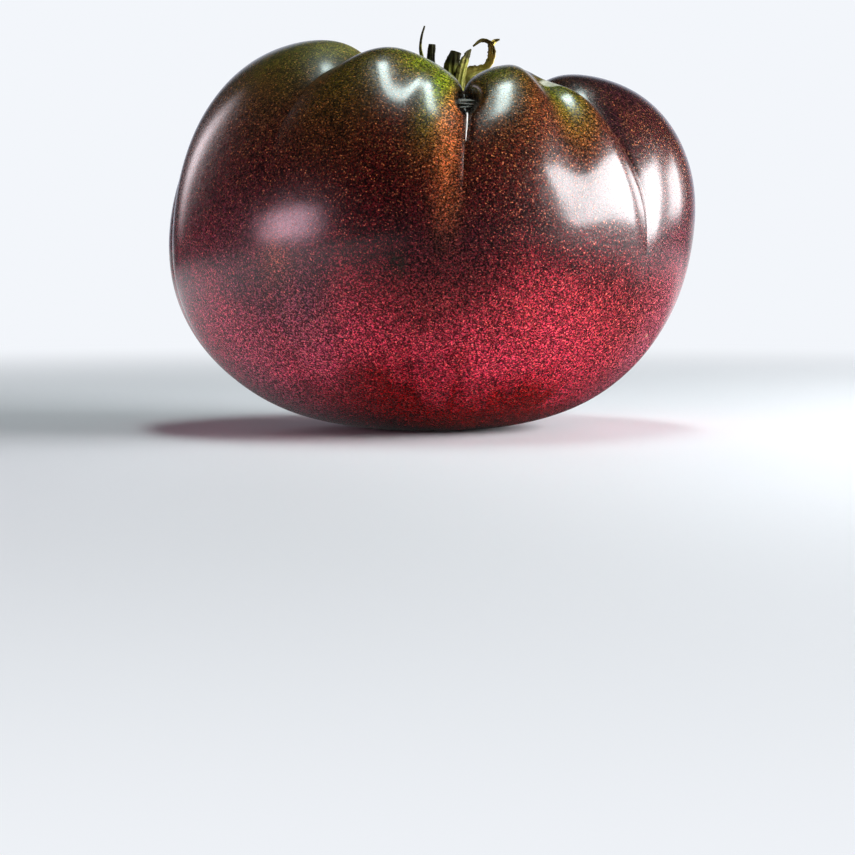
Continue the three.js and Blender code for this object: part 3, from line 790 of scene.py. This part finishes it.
spine, _ = through([(out, 0, up, radius) for out, up, radius in STUB], 6)
sides = np.linspace(0, 2 * np.pi, 72, endpoint=False)
rings = []
for i, (out, _, up, radius) in enumerate(spine):
    high = i / (len(spine) - 1)
    knobs = 1 + 0.03 * np.sin(5 * sides + 2 * high) + 0.025 * np.sin(11 * sides - 4 * high)
    break_share = float(ease((high - BREAK_FROM) / (1 - BREAK_FROM)))
    broken = BREAK_HEIGHT * break_share * (np.sin(7 * sides) + np.sin(13 * sides + 1))
    rings.append(np.stack([out * math.cos(LEAN) + radius * knobs * np.cos(sides),
                           out * math.sin(LEAN) + radius * knobs * np.sin(sides), up + broken], -1))
rings = (np.array(rings) + [STEM_X, 0, HUB_TOP]) * MM
stub = closed_skin("stem_stub", rings, rings[0].mean(0), rings[-1].mean(0))
keep(stub, "tipward", np.repeat(np.linspace(0, 1, len(rings))[:, None], len(sides), 1), (0, 1))
print("stub faces", len(stub.data.polygons))

# %% Stub material
STEM_DEEP, STEM_GREEN = (0.06, 0.09, 0.018), (0.17, 0.20, 0.05)
JOINT_BROWN, BREAK_TAN = (0.26, 0.18, 0.09), (0.30, 0.24, 0.15)

stub_finish, shader, ink = finish_named("stem_skin")
tipward = ink.kept("tipward")
mottle = ink.noise(ink.place(), 0.0011, 4, 0.7)
stem = ink.mix(mottle, STEM_DEEP, STEM_GREEN)
stem = ink.mix((tipward.step(0.45, 0.8) * (0.5 + mottle)).clip(), stem, JOINT_BROWN)
stem = ink.mix(tipward.step(0.86, 0.95), stem, BREAK_TAN)
ink.feed(shader.inputs["Base Color"], stem)
ink.feed(shader.inputs["Roughness"], 0.65 + mottle * 0.25)
ink.feed(shader.inputs["Normal"], ink.bump(mottle, 0.6, 0.00015))
stub.data.materials.append(stub_finish)
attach(stub, "root")
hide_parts("calyx")

# %% [markdown]
# ## Studio
# The floor is a plain pale sheet. Far out it takes the colour of the background, so no edge of
# it shows from any side. Around the fruit it is lit and takes the shadow.

# %% Floor sheet
FLOOR_REACH = 6
FLOOR_GREY = (0.67, 0.685, 0.71, 1)

corners = [(x * FLOOR_REACH, y * FLOOR_REACH, 0) for x, y in ((-1, -1), (1, -1), (1, 1), (-1, 1))]
sheet = bpy.data.meshes.new("floor")
sheet.from_pydata(corners, [], [(0, 1, 2, 3)])
floor = bpy.data.objects.new("floor", sheet)
bpy.context.collection.objects.link(floor)
floor_finish, shader, ink = finish_named("pale_floor")
shader.inputs["Base Color"].default_value = FLOOR_GREY
shader.inputs["Roughness"].default_value = 0.6
shader.inputs["Specular IOR Level"].default_value = 0.2

# %% [markdown]
# The glossy skin mirrors the floor, and in glossy rays the floor is swapped for a glow of the
# background colour: a painted reflection. The glow is dark below and in front of the fruit, which
# keeps the underside a deep red, and bright at the sides and behind, which gives the limbs their pale rim.

# %% What the floor shows and what it mirrors
BACKGROUND = (0.896, 0.922, 0.965)
MIRROR_SHIFT = 0.05  # metres by which the dark part lies to the right

where = ink.place()
distance = where.length()
aside, backward = where.axis("X"), where.axis("Y")
outer = ink.maths("MAXIMUM", abs(aside - MIRROR_SHIFT), backward)
forward = 1 - (backward / distance).step(0.78, 1.0)
mirror_glow_strength = outer.step(0.05, 0.22, 0.02, 1.0) * (1 - distance.step(0.14, 0.6) * forward * 0.97)
glow = ink.node("Emission", {}, {0: BACKGROUND, 1: 1.0})
# painted reflection: the floor glows in glossy rays only
mirror_glow = ink.node("Emission", {}, {0: BACKGROUND, 1: mirror_glow_strength})
seen, mirrored = (ink.node("LightPath", pick=ray) for ray in ("Is Camera Ray", "Is Glossy Ray"))
far = distance.step(0.12, 0.45)
lit = ink.node("MixShader", {}, {0: mirrored * 0.97, 1: Wire(ink.tree, shader.outputs[0]), 2: mirror_glow})
blend = ink.node("MixShader", {}, {0: far * seen, 1: lit, 2: glow})
ink.feed(floor_finish.node_tree.nodes["Material Output"].inputs["Surface"], blend)
floor.data.materials.append(floor_finish)

# %% [markdown]
# ## Light
# A large soft box on the right makes the white patches, and a weaker one behind it lights the
# right limb. A narrow one overhead draws the streaks down the ribs. A small pink one at the left
# front makes the pale patch there, and a tall weak one behind it lights the left limb. Each box
# fades towards its edges, so no hard frame shows in the gloss, and the camera doesn't see it.

# %% Soft boxes
TARGET = Vector((0, 0, 0.045))

def soft_box(name, azimuth, elevation, distance, wide, tall, radiance, colour, soft, shift=(0, 0, 0)):
    light = bpy.data.lights.new(name, "AREA")
    light.shape, light.size, light.size_y = "RECTANGLE", wide, tall
    light.energy = radiance * math.pi * wide * tall
    light.color = colour
    light.use_nodes = True
    ink = Wire(light.node_tree)
    spread = ink.node("NewGeometry", pick="Parametric")
    from_edge = [0.5 - abs(spread.axis(letter) - 0.5) for letter in ("X", "Y")]
    across, along = (edge.step(0.0, width * 0.5) for edge, width in zip(from_edge, soft))
    ink.feed(light.node_tree.nodes["Emission"].inputs["Strength"], across * along)
    made = bpy.data.objects.new(name, light)
    a, e = math.radians(azimuth), math.radians(elevation)
    out = Vector((math.cos(a) * math.cos(e), math.sin(a) * math.cos(e), math.sin(e)))
    made.location = TARGET + out * distance + Vector(shift)
    made.rotation_mode = "QUATERNION"
    made.rotation_quaternion = out.to_track_quat("Z", "Y")
    made.visible_camera = False
    bpy.context.collection.objects.link(made)

soft_box("right_box", -12, 12.0, 0.42, 0.41, 0.255, 20.0, (1.0, 0.98, 1.0), (0.25, 0.3))
soft_box("right_back_box", 27, 9, 0.42, 0.15, 0.16, 9.0, (1.0, 0.98, 1.0), (0.5, 0.6))
soft_box("top_strip", 100, 84, 0.75, 0.16, 0.62, 20.0, (0.82, 1.0, 0.97), (0.8, 0.5), (0.06, -0.06, 0))
soft_box("left_fill", -148, 2, 0.38, 0.24, 0.13, 12.0, (1.0, 0.62, 0.76), (0.9, 0.8))
soft_box("left_back_strip", 142, 18, 0.80, 0.22, 0.60, 6.5, (1.0, 0.86, 0.91), (1.0, 1.0))

# %% [markdown]
# The room is bright straight behind the fruit and dark everywhere else, which keeps the front
# deep in colour. The camera sees the plain background instead of the room.

# %% The room's own light
ROOM_DARK, ROOM_BRIGHT = (0.012, 0.011, 0.012), (0.75, 0.80, 0.95)

world = bpy.data.worlds.new("room")
bpy.context.scene.world = world
world.use_nodes = True
ink = Wire(world.node_tree)
behind = ink.node("TexCoord", pick="Generated").axis("Y").step(0.84, 1.0)
room = ink.mix(behind, ROOM_DARK, ROOM_BRIGHT)
shown = ink.mix(ink.node("LightPath", pick="Is Camera Ray"), room, BACKGROUND)
ink.feed(world.node_tree.nodes["Background"].inputs["Color"], shown)
bpy.context.scene.view_settings.view_transform = "Standard"
